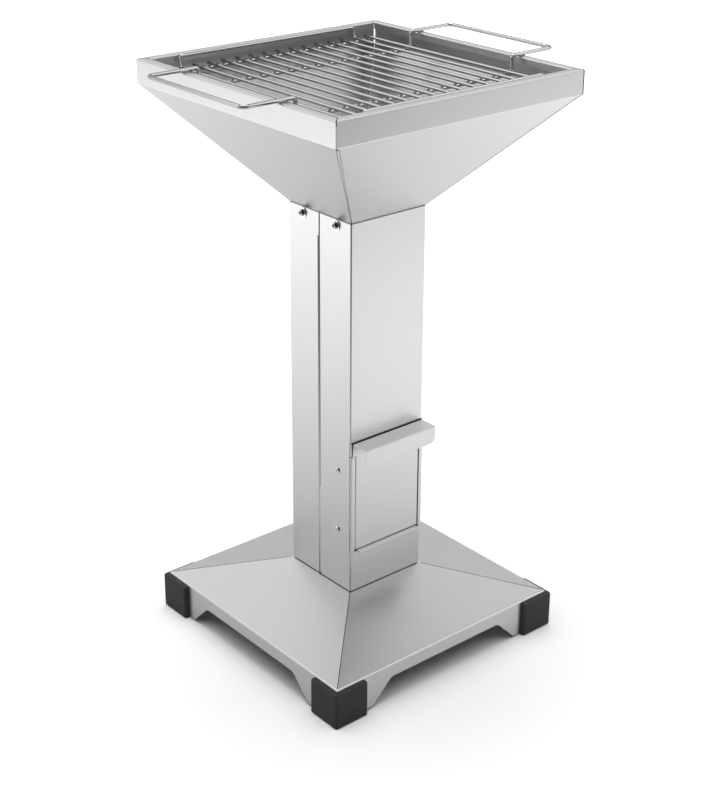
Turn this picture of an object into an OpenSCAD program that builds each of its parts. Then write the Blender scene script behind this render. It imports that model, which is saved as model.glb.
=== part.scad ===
// Pillar charcoal grill: a square bowl on a folded sheet column and a low pyramid base.
// Millimetres. Z is up, the origin lies under the middle of the base and the ash drawer faces -Y.

/* [Sheet and bends] */
// Thickness of every steel sheet
sheet = 1; // [0.8:0.1:1.4]
// Inside radius of the sharp bends
bend_r = 0.8; // [0.4:0.1:1.2]
// Space between two sheets that slide into each other
sheet_gap = 0.15; // [0.05:0.05:0.3]

/* [Base] */
// Width of the base over its skirt
base_w = 358; // [320:1:400]
// Height of the bend line round the base
base_edge_h = 51; // [46:1:70]
// Rise of the pyramid from its edge to the column
base_rise = 33; // [20:1:50]
// Inside radius of the bend between slope and skirt
base_bend_r = 2; // [1:0.5:3]
// Clearance of the skirt above the floor
skirt_lift = 3; // [2:0.5:5]
// Height of the arch in the skirt
arch_h = 33; // [20:1:38]
// Width of the arch at its flat top
arch_top_w = 184; // [120:1:200]
// Slant of each arch end, measured along the side
arch_slant = 33; // [15:1:36]
// Opening in the flat ring under the column
base_hole_w = 76; // [60:1:84]
// Flat ledge round the column's foot
col_ledge = 1.5; // [1:0.1:4]

/* [Feet] */
// Length of each leg of a corner foot
foot_leg = 51; // [40:1:52]
// Height of a foot
foot_h = 48; // [30:1:48]
// Rubber outside the skirt
foot_wall = 6.5; // [4:0.5:9]
// Rubber inside the skirt
foot_inner = 4; // [3:0.5:8]
// Corner radius of a foot seen from above
foot_r = 4; // [2.5:0.5:5]
// Rounding of the upper and lower edges of a foot
foot_ease = 1.6; // [0.5:0.1:2.2]

/* [Column] */
// Width of the square column
col_w = 119; // [110:1:130]
// Height of the column between base and funnel
col_h = 499.8; // [440:0.1:560]
// Depth from the middle of the column to the rear shell's fold
seam_rear = 3.9; // [3.4:0.1:6]
// Depth from the middle to the front shell's edge
seam_front = 0.8; // [0.5:0.1:3]
// Height of the wider lower part of the front shell
seam_step_h = 130; // [60:1:200]
// Extra width of the front shell there
seam_step = 1.9; // [0.5:0.1:1.9]
// Depth of the seam's groove below the column's face
seam_depth = 2.6; // [1.5:0.1:3]
// Lap of the rear shell behind the front shell
seam_lap = 10; // [8:1:12]
// Width of the flange that stands on the base
col_flange = 18; // [14:1:20]
// Distance of the flanges from the middle of the column
flange_clear = 6; // [4:1:10]
// Radius of the notch at the foot of the seam
notch_r = 3.5; // [2:0.5:5]
// Shadow gap between column and funnel
col_top_gap = 1.4; // [0.8:0.1:2]

/* [Bowl] */
// Width of the square bowl over its rim
bowl_w = 375.9; // [340:0.1:400]
// Height of the funnel
funnel_h = 141; // [110:0.5:170]
// Height of the upright rim
rim_h = 30; // [24:1:40]
// Width of the rim's top fold
rim_fold = 12; // [9:0.5:14]
// Depth of the hem inside the rim
rim_hem = 9; // [5:0.5:10]
// Depth of the collar inside the column
collar_h = 26; // [22:1:40]
// Open joint at the rim's corners
rim_joint = 1.4; // [0.5:0.1:2]
// Width of the corner strap at the top of the funnel
wrap_top = 3.5; // [2:0.1:5]
// Width of the corner strap at the bottom of the funnel
wrap_low = 0.8; // [0.5:0.1:1.5]
// Open joint between the strap and the front panel
strap_gap = 0.8; // [0.2:0.1:1.2]
// Width of the strap's lap inside the funnel
tab_w = 15; // [10:1:20]

/* [Ash drawer] */
// Height of the drawer opening's lower edge above the floor
opening_z = 141.5; // [125:0.5:160]
// Height of the drawer opening
opening_h = 156; // [145:0.5:170]
// How far the housing stands out of the column
housing_proud = 2.5; // [1.5:0.1:4]
// Width of each upright strip of the housing
strip_w = 5.7; // [4.5:0.1:7]
// Height of the strips
strip_h = 137; // [120:1:138]
// Height of the slanted cut at the strips' inner lower corners
strip_slant = 4.5; // [2:0.5:6]
// Height of the relief slit over each strip
relief_h = 1; // [0.8:0.1:2]
// Depth of the housing's side walls inside the column
housing_wall_d = 38; // [30:1:40]
// Height of the housing's floor above the opening's edge
floor_lift = 1.8; // [0.2:0.1:4]
// Reach of the bottom lip in front of the strips
lip_reach = 7; // [2:0.5:10]
// Distance of the lip's ends from the strips
lip_inset = 2.8; // [1:0.1:6]
// Length of the ash box
ash_box_l = 105; // [80:1:108]
// Height of the ash box
ash_box_h = 100; // [60:1:120]
// Gap under the ash box and over the strips
drawer_gap = 0.4; // [0.3:0.1:0.6]
// Gap beside the drawer and round its front
front_gap = 1; // [0.8:0.1:2]
// Outer radius of the bends at the front's sides
side_bend_r = 3; // [2:0.1:4]
// Depth of the front's side flanges
side_flange = 8; // [5:0.5:20]
// Drop of the shelf below the opening's upper edge
shelf_drop = 1.1; // [0.6:0.1:3]
// Depth of the shelf that serves as handle
shelf_d = 25.5; // [18:0.5:30]
// Height of the shelf's front lip
shelf_lip = 23; // [14:1:25]
// Radius of the lip's lower corners
shelf_r = 7.5; // [4:0.5:10]

/* [Fasteners] */
// Thread diameter of the bolts
bolt_d = 6; // [5:0.5:6]
// Distance of the bowl bolts from the middle of a side
bowl_bolt_y = 32; // [22:1:40]
// Distance of the bowl bolts below the column's top edge
bowl_bolt_drop = 7.2; // [7.2:0.1:10]
// Outer diameter of the washers
washer_d = 14; // [12:0.5:16]
// Thickness of the washers
washer_h = 1.4; // [1:0.1:2]
// Place of the base bolts across the grill
base_bolt_x = 35; // [20:1:40]
// Head diameter of the blind rivets
rivet_head_d = 8; // [6:0.5:9]
// Shank diameter of the blind rivets
rivet_d = 4.8; // [3.2:0.1:5]
// Distance of the rivets behind the column's front
rivet_set = 24.2; // [18:0.1:28]
// Height of the lower rivets above the opening's edge
rivet_low = 25.3; // [15:0.1:40]
// Height between the rivets
rivet_pitch = 84.6; // [60:0.1:95]

/* [Cooking grate] */
// Span over the two handles
handle_span = 475; // [450:1:500]
// Diameter of the handle and cross rods
rod_d = 5; // [4:0.5:6]
// Diameter of the grate bars
bar_d = 4; // [3:0.5:5]
// Number of bars
bar_count = 16; // [12:2:20]
// Space between the ends of the bars and the rim's opening
bar_end_gap = 2.95; // [2:0.05:8]
// Space between the handles' risers and the rim's opening
riser_gap = 8.95; // [4:0.05:12]
// Depth of the bars below the rim, to their middle
grate_drop = 15.8; // [12:0.1:22]
// Rise of the guard wire over the bars
guard_rise = 14.3; // [11:0.1:14.5]
// Distance between the two inner cross rods
inner_rod_gap = 182; // [140:1:220]
// Distance of the outer cross rods from the ends of the bars
rod_inset = 5; // [4.5:0.5:20]
// Reach of the outer cross rods past the last bar
rod_over = 1.5; // [0.5:0.5:4]
// Corner radius of the handle loops
handle_r = 8; // [6:0.5:16]
// Bend radius of the wires, to their middle
wire_r = 5; // [4:0.5:5]

/* [Charcoal grate] */
// Diameter of its bars and rods
coal_d = 5; // [4:0.5:6]
// Height of its rods above the bottom of the funnel
coal_z = 34; // [25:1:60]
// Number of bars
coal_bar_count = 9; // [5:2:9]
// Distance from bar to bar
coal_bar_pitch = 19; // [14:0.5:19]
// Distance between the two cross rods
coal_rod_gap = 120; // [80:1:130]

/* [Hidden] */
$fn = 48;

steel = "gainsboro";
chrome = "silver";
rubber = "dimgray";

seat_gap = 0.2;
lap_gap = 0.05;
thread_gap = 0.05;
hole_gap = 0.4;
rod_gap = 0.4;
bend_steps = 4;
cut = 1;

// Heights
col_z0 = base_edge_h + base_rise;
funnel_z0 = col_z0 + col_h;
rim_z0 = funnel_z0 + funnel_h;
rim_top = rim_z0 + rim_h;
col_top = funnel_z0 - col_top_gap;
opening_top = opening_z + opening_h;

// Half widths
col_r = col_w / 2;
base_r = base_w / 2;
bowl_r = bowl_w / 2;
foot_out = base_r + foot_wall;
collar_r = col_r - sheet - sheet_gap;
rim_in = bowl_r - rim_fold;

// Funnel slope
funnel_run = bowl_r - col_r;
funnel_l = norm([funnel_run, funnel_h]);
funnel_dir = [funnel_run, funnel_h] / funnel_l;
funnel_in = [-funnel_dir.y, funnel_dir.x];
collar_top = funnel_z0 - (col_r - collar_r) * funnel_h / funnel_run;

// Fastener heights
bowl_bolt_z = col_top - bowl_bolt_drop;
base_bolt_y = (base_hole_w / 2 + col_r) / 2;
rivet_z = opening_z + rivet_low;
hole_d = bolt_d + hole_gap;
nut_af = bolt_d / 6 * 10;
nut_h = bolt_d / 6 * 5;
thread_end = bolt_d / 2;
head_d = bolt_d / 6 * 10.5;
head_h = bolt_d / 6 * 3.3;
socket_af = bolt_d / 6 * 4;
socket_depth = head_h * 0.65;

// Ash drawer
front_y = -col_r - housing_proud;
strip_in = col_r - strip_w;
strip_top = opening_z + strip_h;
floor_z = opening_z + floor_lift;
floor_top = floor_z + 2 * sheet;
drawer_z = floor_top + drawer_gap;
drawer_r = strip_in - front_gap;
plate_z = floor_top + front_gap;
shelf_z = opening_top - shelf_drop;
plate_y = front_y + sheet;
wide_z = strip_top + drawer_gap;
wide_r = col_r - sheet - front_gap;

// Cooking grate
handle_z = rim_top + seat_gap + rod_d / 2;
bar_z = rim_top - grate_drop;
cross_z = bar_z - bar_d / 2 - rod_d / 2;
foot_x = rim_in - riser_gap - rod_d / 2;
bar_end_x = foot_x - wire_r - bar_d / 2;
bar_pitch = 2 * bar_end_x / (bar_count - 1);
bar_l = 2 * (rim_in - bar_end_gap);
handle_out = handle_span / 2 - rod_d / 2;
guard_x = bar_end_x - bar_pitch;
guard_y = bar_l / 2 - bar_d / 2;

// Charcoal grate
coal_rod_z = funnel_z0 + coal_z;
coal_bar_z = coal_rod_z + coal_d;

// Folded sheet

function unit(v) = v / norm(v);
function left_of(v) = [-v.y, v.x];
function spun(v, a) = [v.x * cos(a) - v.y * sin(a), v.x * sin(a) + v.y * cos(a)];
function turn(a, b) = atan2(a.x * b.y - a.y * b.x, a.x * b.x + a.y * b.y);
function reversed(list) = [for (i = [len(list) - 1:-1:0]) list[i]];

// Arc at corner i of a path, on the path itself or, with side 1, on the sheet's other face
function fold_arc(path, i, t, r, side) =
    let (
        d1 = unit(path[i] - path[i - 1]),
        d2 = unit(path[i + 1] - path[i]),
        a = turn(d1, d2),
        s = sign(a),
        r_path = s > 0 ? r + t : r,
        r_here = r_path - side * s * t,
        centre = path[i] - d1 * r_path * tan(abs(a) / 2) + left_of(d1) * s * r_path
    )
    [for (k = [0:bend_steps]) centre + spun(-left_of(d1) * s * r_here, a * k / bend_steps)];

// Outline of a sheet folded along a path, with its thickness on the left of the path
function folded(path, t, r) =
    let (
        last = len(path) - 1,
        first_side = left_of(unit(path[1] - path[0])) * t,
        last_side = left_of(unit(path[last] - path[last - 1])) * t
    )
    concat(
        [path[0]],
        [for (i = [1:last - 1]) each fold_arc(path, i, t, r, 0)],
        [path[last], path[last] + last_side],
        [for (i = [last - 1:-1:1]) each reversed(fold_arc(path, i, t, r, 1))],
        [path[0] + first_side]
    );

// Extrusion along the front side: the profile's x is the distance from the axis, its y the height
module front_side(points, length) {
    rotate([0, 0, -90]) rotate([90, 0, 0])
        linear_extrude(length, center = true) polygon(points);
}

// Upright block over a plan
module plan(points, z0, z1) {
    translate([0, 0, z0]) linear_extrude(z1 - z0) polygon(points);
}

// Plan of a quarter of the square, bounded by its diagonals
function quarter(reach, inset = 0) = [[0, -inset], [reach - inset, -reach], [inset - reach, -reach]];

// Base

base_path = [[base_r, skirt_lift], [base_r, base_edge_h], [col_r + col_ledge, col_z0],
    [base_hole_w / 2, col_z0]];

module base_side() {
    intersection() {
        front_side(folded(base_path, sheet, base_bend_r), base_w + 2 * cut);
        plan(quarter(base_r + cut), 0, col_z0 + cut);
    }
}

module arch() {
    half = arch_top_w / 2;
    rotate([90, 0, 0]) linear_extrude(base_w + 2 * cut, center = true)
        polygon([[-half - arch_slant * 1.1, -arch_h * 0.1], [-half, arch_h], [half, arch_h],
            [half + arch_slant * 1.1, -arch_h * 0.1]]);
}

module base_shell() {
    color(steel) difference() {
        union() {
            for (a = [0:90:270]) rotate([0, 0, a]) base_side();
        }
        arch();
        rotate([0, 0, 90]) arch();
        for (x = [-1, 1], y = [-1, 1])
            translate([x * base_bolt_x, y * base_bolt_y, col_z0 - sheet - cut])
                cylinder(d = hole_d, h = sheet + 2 * cut);
    }
}

// One leg of a foot. Each step is a height and a setback, as shares of the edges' rounding
module foot_leg_block() {
    width = foot_wall + sheet + foot_inner;
    steps = [[0, 1], [0.3, 0.3], [1, 0]];
    hull() for (x = [foot_r, foot_leg - foot_r], y = [foot_r, width - foot_r], step = steps)
        translate([x, y, foot_ease * step.x])
            cylinder(r = foot_r - foot_ease * step.y, h = foot_h - 2 * foot_ease * step.x, $fn = 32);
}

module foot() {
    color(rubber) difference() {
        translate([-foot_out, -foot_out, 0]) {
            foot_leg_block();
            mirror([1, -1, 0]) foot_leg_block();
        }
        translate([0, 0, skirt_lift]) linear_extrude(foot_h) difference() {
            square(base_w, center = true);
            square(base_w - 2 * sheet, center = true);
        }
    }
}

module foot_front_left() {
    foot();
}

module foot_front_right() {
    mirror([1, 0, 0]) foot();
}

module foot_rear_left() {
    mirror([0, 1, 0]) foot();
}

module foot_rear_right() {
    rotate([0, 0, 180]) foot();
}

// Column

module front_shell_wall(edge_y, z0, z1) {
    path = [[-col_r, edge_y], [-col_r, -col_r], [col_r, -col_r], [col_r, edge_y]];
    plan(folded(path, sheet, bend_r), z0, z1);
}

module bowl_bolt_holes() {
    for (y = [-1, 1]) translate([0, y * bowl_bolt_y, bowl_bolt_z]) rotate([0, 90, 0])
        cylinder(d = hole_d, h = col_w + 2 * cut, center = true);
}

module rivet_holes() {
    for (z = [rivet_z, rivet_z + rivet_pitch]) translate([0, rivet_set - col_r, z]) rotate([0, 90, 0])
        cylinder(d = rivet_d + seat_gap, h = col_w + 2 * cut, center = true);
}

module base_bolt_holes() {
    for (x = [-1, 1], y = [-1, 1]) translate([x * base_bolt_x, y * base_bolt_y, col_z0 - cut])
        cylinder(d = hole_d, h = sheet + 2 * cut);
}

// Flanges that stand on the base, for the half of the column in front of y = -clear
module bottom_flanges(clear) {
    inside = col_r - sheet * 0.7;
    difference() {
        translate([-inside, -inside, col_z0]) cube([2 * inside, inside - clear, sheet]);
        translate([-inside + col_flange, -inside + col_flange, col_z0 - cut])
            cube([2 * (inside - col_flange), inside, sheet + 2 * cut]);
    }
}

module column_front_shell() {
    step_z = col_z0 + seam_step_h;
    low_edge = seam_step - seam_front;
    color(steel) difference() {
        union() {
            front_shell_wall(low_edge, col_z0, step_z);
            front_shell_wall(-seam_front, step_z, col_top);
            bottom_flanges(flange_clear);
        }
        translate([-col_r - cut, -col_r - cut, opening_z])
            cube([col_w + 2 * cut, sheet + bend_r + cut, opening_h]);
        for (x = [-1, 1]) translate([x * col_r, low_edge, col_z0]) rotate([0, 90, 0])
            cylinder(r = notch_r, h = 3 * sheet, center = true);
        bowl_bolt_holes();
        rivet_holes();
        base_bolt_holes();
    }
}

module column_rear_shell() {
    lap_x = col_r - seam_depth;
    fold_y = seam_rear - seam_depth;
    path = [[lap_x, -seam_lap], [lap_x, fold_y], [col_r, seam_rear], [col_r, col_r],
        [-col_r, col_r], [-col_r, seam_rear], [-lap_x, fold_y], [-lap_x, -seam_lap]];
    notch = collar_h + 2 * col_top_gap;
    color(steel) difference() {
        union() {
            plan(folded(path, sheet, bend_r), col_z0, col_top);
            rotate([0, 0, 180]) bottom_flanges(flange_clear);
        }
        translate([-col_r - cut, -col_r, col_top - notch])
            cube([col_w + 2 * cut, col_r + fold_y, notch + cut]);
        // Inside of the fold, where the bowl's collar passes
        translate([-collar_r - sheet_gap / 2, -col_r, col_top - notch])
            cube([2 * collar_r + sheet_gap, col_r + seam_rear + 2 * sheet, notch + cut]);
        translate([-col_r - cut, -col_r, col_z0 - cut])
            cube([col_w + 2 * cut, col_r, 3 * sheet + cut]);
        bowl_bolt_holes();
        base_bolt_holes();
    }
}

// Drawer housing: side walls joggled out to the column's faces, strips, floor and bottom lip

module drawer_housing() {
    wall_x = collar_r + sheet_gap / 2;
    corner_y = sheet + bend_r - col_r;
    joggle_y = corner_y - sheet * 0.6;
    wall = [[wall_x, housing_wall_d - col_r], [wall_x, joggle_y], [col_r, joggle_y - sheet * 1.1]];
    strip_path = reversed(concat(wall, [[col_r, front_y], [strip_in, front_y]]));
    upper_path = reversed(concat(wall, [[col_r, plate_y]]));
    back = plate_y + ash_box_l + 2 * sheet;
    lip_y = front_y - lip_reach;
    lip_r = strip_in - lip_inset;
    slant_x = col_r - sheet - bend_r / 2;
    top = opening_top - drawer_gap;
    color(steel) difference() {
        union() {
            for (m = [0, 1]) mirror([m, 0, 0]) {
                plan(folded(strip_path, sheet, bend_r / 2), opening_z - sheet, strip_top + relief_h / 2);
                plan(folded(upper_path, sheet, bend_r / 2), opening_z, top);
            }
            translate([-wall_x + sheet / 2, corner_y, floor_z])
                cube([2 * wall_x - sheet, housing_wall_d - col_r - corner_y, 2 * sheet]);
            translate([-strip_in, corner_y, floor_z]) cube([2 * strip_in, back - corner_y, 2 * sheet]);
            translate([-lip_r, lip_y + sheet, floor_z]) cube([2 * lip_r, corner_y - lip_y, 2 * sheet]);
            translate([-lip_r, lip_y + sheet, floor_z + sheet]) rotate([0, 90, 0])
                cylinder(r = sheet, h = 2 * lip_r);
        }
        // The strips' lower ends are cut at a slant, and the joggle clears the column's lower panel.
        // A slit over each strip lets it fold in
        for (m = [0, 1]) mirror([m, 0, 0]) {
            translate([0, front_y - cut, 0]) rotate([90, 0, 0]) mirror([0, 0, 1])
                linear_extrude(cut + 2 * sheet) polygon([[lip_r + sheet / 2, opening_z - 2 * sheet],
                    [slant_x, opening_z - 2 * sheet], [slant_x, opening_z - sheet / 2],
                    [strip_in - sheet, opening_z + strip_slant + sheet],
                    [lip_r + sheet / 2, opening_z + strip_slant + sheet]]);
            translate([0, -col_r - 2 * seat_gap, opening_z - 2 * sheet])
                cube([col_w, col_r, 2 * sheet]);
            translate([strip_in, front_y - cut, strip_top])
                cube([col_w, housing_proud + sheet + cut, relief_h]);
        }
        rivet_holes();
    }
}

module housing_rivets() {
    dome_h = rivet_head_d * 0.24;
    tail_h = rivet_d * 0.625;
    grip = 2 * sheet + sheet_gap;
    color(chrome) for (side = [-1, 1], z = [rivet_z, rivet_z + rivet_pitch])
        translate([side * col_r, rivet_set - col_r, z]) rotate([0, side * 90, 0]) difference() {
            union() {
                rotate_extrude() polygon(concat([[0, 0]],
                    [for (a = [0:15:75]) [rivet_head_d / 2 * cos(a), dome_h * sin(a)]], [[0, dome_h]]));
                translate([0, 0, -grip - tail_h]) cylinder(d = rivet_d, h = grip + tail_h + seat_gap);
                translate([0, 0, -grip - tail_h - seat_gap / 2])
                    cylinder(d = rivet_d * 1.4, h = tail_h);
            }
            translate([0, 0, dome_h * 0.375]) cylinder(d = rivet_d * 0.5, h = tail_h);
        }
}

// Fasteners, drawn along +Z from the face that the head bears on

module button_bolt(length) {
    difference() {
        union() {
            rotate_extrude() polygon(concat([[0, 0]],
                [for (a = [0:15:60]) [head_d / 2 * cos(a), head_h * sin(a) / sin(60)]], [[0, head_h]]));
            translate([0, 0, -length]) cylinder(d = bolt_d, h = length + seat_gap);
        }
        translate([0, 0, head_h - socket_depth])
            cylinder(d = socket_af / cos(30), h = socket_depth + cut, $fn = 6);
    }
}

module hex_nut() {
    difference() {
        cylinder(d = nut_af / cos(30), h = nut_h, $fn = 6);
        translate([0, 0, -cut]) cylinder(d = bolt_d + 2 * thread_gap, h = nut_h + 2 * cut);
    }
}

module bowl_bolt_places() {
    for (side = [-1, 1], y = [-1, 1])
        translate([side * col_r, y * bowl_bolt_y, bowl_bolt_z]) rotate([0, side * 90, 0]) children();
}

module bowl_bolts() {
    color(chrome) bowl_bolt_places() translate([0, 0, washer_h])
        button_bolt(washer_h + 2 * sheet + sheet_gap + nut_h + thread_end);
}

module bowl_washers() {
    color(chrome) bowl_bolt_places() difference() {
        cylinder(d = washer_d, h = washer_h);
        translate([0, 0, -cut]) cylinder(d = hole_d, h = washer_h + 2 * cut);
    }
}

module bowl_nuts() {
    color(chrome) bowl_bolt_places() translate([0, 0, -2 * sheet - sheet_gap - nut_h]) hex_nut();
}

module base_bolt_places() {
    for (x = [-1, 1], y = [-1, 1]) translate([x * base_bolt_x, y * base_bolt_y, col_z0]) children();
}

module base_bolts() {
    length = 3 * sheet + nut_h + thread_end;
    color(chrome) base_bolt_places() translate([0, 0, -sheet]) {
        translate([0, 0, -head_h]) cylinder(d = nut_af / cos(30), h = head_h, $fn = 6);
        cylinder(d = bolt_d, h = length);
    }
}

module base_nuts() {
    color(chrome) base_bolt_places() translate([0, 0, sheet]) hex_nut();
}

// Bowl: four folded panels, joined by a strap at each corner of the funnel

bowl_path = [[collar_r, collar_top - collar_h], [collar_r, collar_top], [bowl_r, rim_z0],
    [bowl_r, rim_top], [rim_in, rim_top], [rim_in, rim_top - rim_hem]];

function wrap_at(r) = wrap_low + (wrap_top - wrap_low) * (r - col_r) / funnel_run;

module bowl_fold() {
    front_side(folded(bowl_path, sheet, bend_r), bowl_w);
}

// Plan of the front panel below the rim, short of the corner straps
function front_plan() =
    let (near = collar_r - 2 * sheet, far = bowl_r + cut, free_near = near - wrap_at(near) - strap_gap,
        free_far = far - wrap_at(far) - strap_gap)
    [[-free_near, -near], [free_near, -near], [free_far, -far], [-free_far, -far]];

module bowl_front() {
    color(steel) {
        intersection() {
            bowl_fold();
            plan(front_plan(), collar_top - collar_h - cut, rim_z0);
        }
        intersection() {
            bowl_fold();
            plan(quarter(bowl_r + cut, rim_joint), rim_z0, rim_top + cut);
        }
    }
}

// Strip of the front side next to its right corner, from the diagonal or short of it to the width w
function corner_strip(near, far, w_near, w_far, inset = 0) =
    [[near - inset, -near], [near - w_near, -near], [far - w_far, -far], [far - inset, -far]];

// Points of a layer of the funnel, from depth d0 to depth d1 inside its outer face
function funnel_layer(d0, d1, a0, a1) =
    let (start = [col_r, funnel_z0])
    [start + funnel_dir * a0 + funnel_in * d0, start + funnel_dir * a1 + funnel_in * d0,
        start + funnel_dir * a1 + funnel_in * d1, start + funnel_dir * a0 + funnel_in * d1];

// Strap at the right corner of the front side: a strip outside, a wider lap inside and a web between
module corner_strap() {
    near = col_r - 2 * sheet;
    far = bowl_r + cut;
    lap_end = 8 * sheet;
    intersection() {
        bowl_fold();
        plan(corner_strip(near, far, wrap_at(near), wrap_at(far)),
            funnel_z0 + 3 * sheet, rim_z0 - 3 * sheet);
    }
    intersection() {
        front_side(funnel_layer(sheet + lap_gap, 2 * sheet, lap_end, funnel_l - lap_end), bowl_w);
        plan(corner_strip(near, far, tab_w * 0.8, tab_w, lap_gap), funnel_z0, rim_z0);
    }
    intersection() {
        front_side(funnel_layer(sheet / 2, sheet * 1.5, lap_end + sheet, funnel_l - lap_end - sheet),
            bowl_w);
        plan(corner_strip(near, far, wrap_at(near) - lap_gap, wrap_at(far) - lap_gap, lap_gap),
            funnel_z0, rim_z0);
    }
}

// Relief at the collar's corners, clear of the column's bends
module collar_relief() {
    z0 = collar_top - collar_h - cut;
    for (y = [-1, 1]) translate([collar_r, y * collar_r, z0]) cylinder(r = 2 * bend_r, h = col_top - z0);
}

module bowl_right() {
    color(steel) difference() {
        rotate([0, 0, 90]) intersection() {
            bowl_fold();
            plan(quarter(bowl_r + cut), collar_top - collar_h - cut, rim_top + cut);
        }
        bowl_bolt_holes();
        collar_relief();
    }
}

module bowl_front_panel() {
    bowl_front();
}

module bowl_rear_panel() {
    mirror([0, 1, 0]) bowl_front();
}

module bowl_left_panel() {
    mirror([1, 0, 0]) bowl_right();
}

module bowl_right_panel() {
    bowl_right();
}

module bowl_corner_straps() {
    color(steel) for (x = [0, 1], y = [0, 1]) mirror([x, 0, 0]) mirror([0, y, 0]) corner_strap();
}

// Ash drawer

// Plan of the ash box, set in from the plate's bends, with the plate's corners in front
function box_plan(inset) =
    let (r = max(side_bend_r - inset, sheet / 4), x = drawer_r - inset - r, y = front_y + inset + r,
        back = plate_y + ash_box_l + sheet + sheet_gap - inset)
    concat([[x + r, back], [-x - r, back]],
        [for (a = [180:15:270]) [-x, y] + r * [cos(a), sin(a)]],
        [for (a = [270:15:360]) [x, y] + r * [cos(a), sin(a)]]);

module ash_box() {
    inset = sheet + sheet_gap;
    color(steel) difference() {
        plan(box_plan(inset), drawer_z, drawer_z + ash_box_h);
        plan(box_plan(inset + sheet), drawer_z + sheet, drawer_z + ash_box_h + cut);
    }
}

// Outline of the drawer's upper plate seen from the front
wide_outline = [[-wide_r, wide_z], [wide_r, wide_z], [wide_r, shelf_z + cut], [-wide_r, shelf_z + cut]];

// Outline of the shelf seen from the front, with the lip's rounded lower corners
function shelf_outline() =
    let (low = shelf_z - shelf_lip, mid = wide_r - shelf_r)
    concat([[wide_r, shelf_z + cut], [-wide_r, shelf_z + cut]],
        [for (a = [180:15:270]) [-mid, low + shelf_r] + shelf_r * [cos(a), sin(a)]],
        [for (a = [270:15:360]) [mid, low + shelf_r] + shelf_r * [cos(a), sin(a)]]);

module front_slab(points, y0, y1) {
    translate([0, y1, 0]) rotate([90, 0, 0]) linear_extrude(y1 - y0) polygon(points);
}

module ash_drawer_front() {
    // The path runs up the lip, back along the shelf's top and down the back of the upper plate
    lip_r = -plate_y + shelf_d + sheet;
    path = [[lip_r, shelf_z - shelf_lip], [lip_r, shelf_z], [-plate_y, shelf_z],
        [-plate_y, wide_z - sheet]];
    web_r = drawer_r - side_bend_r;
    // The lower plate is folded back at both sides
    low_path = [[-drawer_r, plate_y + side_flange], [-drawer_r, front_y], [drawer_r, front_y],
        [drawer_r, plate_y + side_flange]];
    color(steel) {
        intersection() {
            front_side(folded(path, sheet, bend_r), col_w);
            union() {
                front_slab(wide_outline, front_y - cut, plate_y + cut);
                front_slab(shelf_outline(), front_y - shelf_d - cut, front_y - lap_gap);
            }
        }
        plan(folded(low_path, sheet, side_bend_r - sheet), plate_z, wide_z - drawer_gap);
        // The web between both plates, without the bends
        front_slab([[-web_r, wide_z - 2 * sheet], [web_r, wide_z - 2 * sheet],
            [web_r, wide_z + sheet], [-web_r, wide_z + sheet]], front_y, plate_y);
    }
}

// Grates

// Half width of the funnel's inner face at a height
function funnel_inner(z) = col_r + (z - funnel_z0) * funnel_run / funnel_h - sheet / funnel_dir.y;

module bar_along_y(x, z, d, length) {
    translate([x, 0, z]) rotate([90, 0, 0]) cylinder(d = d, h = length, center = true);
}

module rod_along_x(y, z, d, length) {
    translate([0, y, z]) rotate([0, 90, 0]) cylinder(d = d, h = length, center = true);
}

module charcoal_bars() {
    reach = funnel_inner(coal_bar_z - coal_d / 2) - rod_gap;
    mid = (coal_bar_count - 1) / 2;
    color(chrome) for (i = [-mid:mid])
        bar_along_y(i * coal_bar_pitch, coal_bar_z, coal_d, 2 * reach);
}

module charcoal_rods() {
    reach = funnel_inner(coal_rod_z - coal_d / 2) - rod_gap;
    color(chrome) for (side = [-1, 1])
        rod_along_x(side * coal_rod_gap / 2, coal_rod_z, coal_d, 2 * reach);
}

// Round wire along points with square corners, bent to the radii; a closed one repeats its first point
module wire(points, radii, d) {
    last = len(points) - 1;
    for (i = [0:last - 1]) wire_run(points[i], points[i + 1], radii[i], radii[i + 1], d);
    for (i = [1:last - 1]) wire_bend(points[i - 1], points[i], points[i + 1], radii[i], d);
    if (points[0] == points[last]) wire_bend(points[last - 1], points[0], points[1], radii[0], d);
}

module wire_run(p, q, r_p, r_q, d) {
    dir = unit(q - p);
    length = norm(q - p) - r_p - r_q;
    if (length > 0.01) translate(p + dir * r_p) rotate([0, acos(dir.z), atan2(dir.y, dir.x)])
        cylinder(d = d, h = length);
}

module wire_bend(before, corner, after, r, d) {
    came = unit(corner - before);
    goes = unit(after - corner);
    centre = corner - came * r + goes * r;
    axis = cross(-goes, came);
    multmatrix([[-goes.x, came.x, axis.x, centre.x], [-goes.y, came.y, axis.y, centre.y],
        [-goes.z, came.z, axis.z, centre.z], [0, 0, 0, 1]])
        rotate_extrude(angle = 90) translate([r, 0]) circle(d = d);
}

module grate_bars() {
    mid = (bar_count - 1) / 2;
    color(chrome) for (i = [-mid:mid]) if (abs(abs(i * bar_pitch) - guard_x) > 0.01)
        bar_along_y(i * bar_pitch, bar_z, bar_d, bar_l);
}

module grate_cross_rods() {
    color(chrome) for (side = [-1, 1]) {
        rod_along_x(side * (bar_l / 2 - rod_inset), cross_z, rod_d, 2 * (bar_end_x + rod_over) + bar_d);
        rod_along_x(side * inner_rod_gap / 2, cross_z, rod_d, 2 * (foot_x - wire_r));
    }
}

module grate_guard_wire() {
    top = bar_z + guard_rise;
    corners = [[-guard_x, -guard_y, bar_z], [-guard_x, guard_y, bar_z], [-guard_x, guard_y, top],
        [guard_x, guard_y, top], [guard_x, guard_y, bar_z], [guard_x, -guard_y, bar_z],
        [guard_x, -guard_y, top], [-guard_x, -guard_y, top], [-guard_x, -guard_y, bar_z]];
    color(chrome) wire(corners, [for (p = corners) wire_r], bar_d);
}

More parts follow.
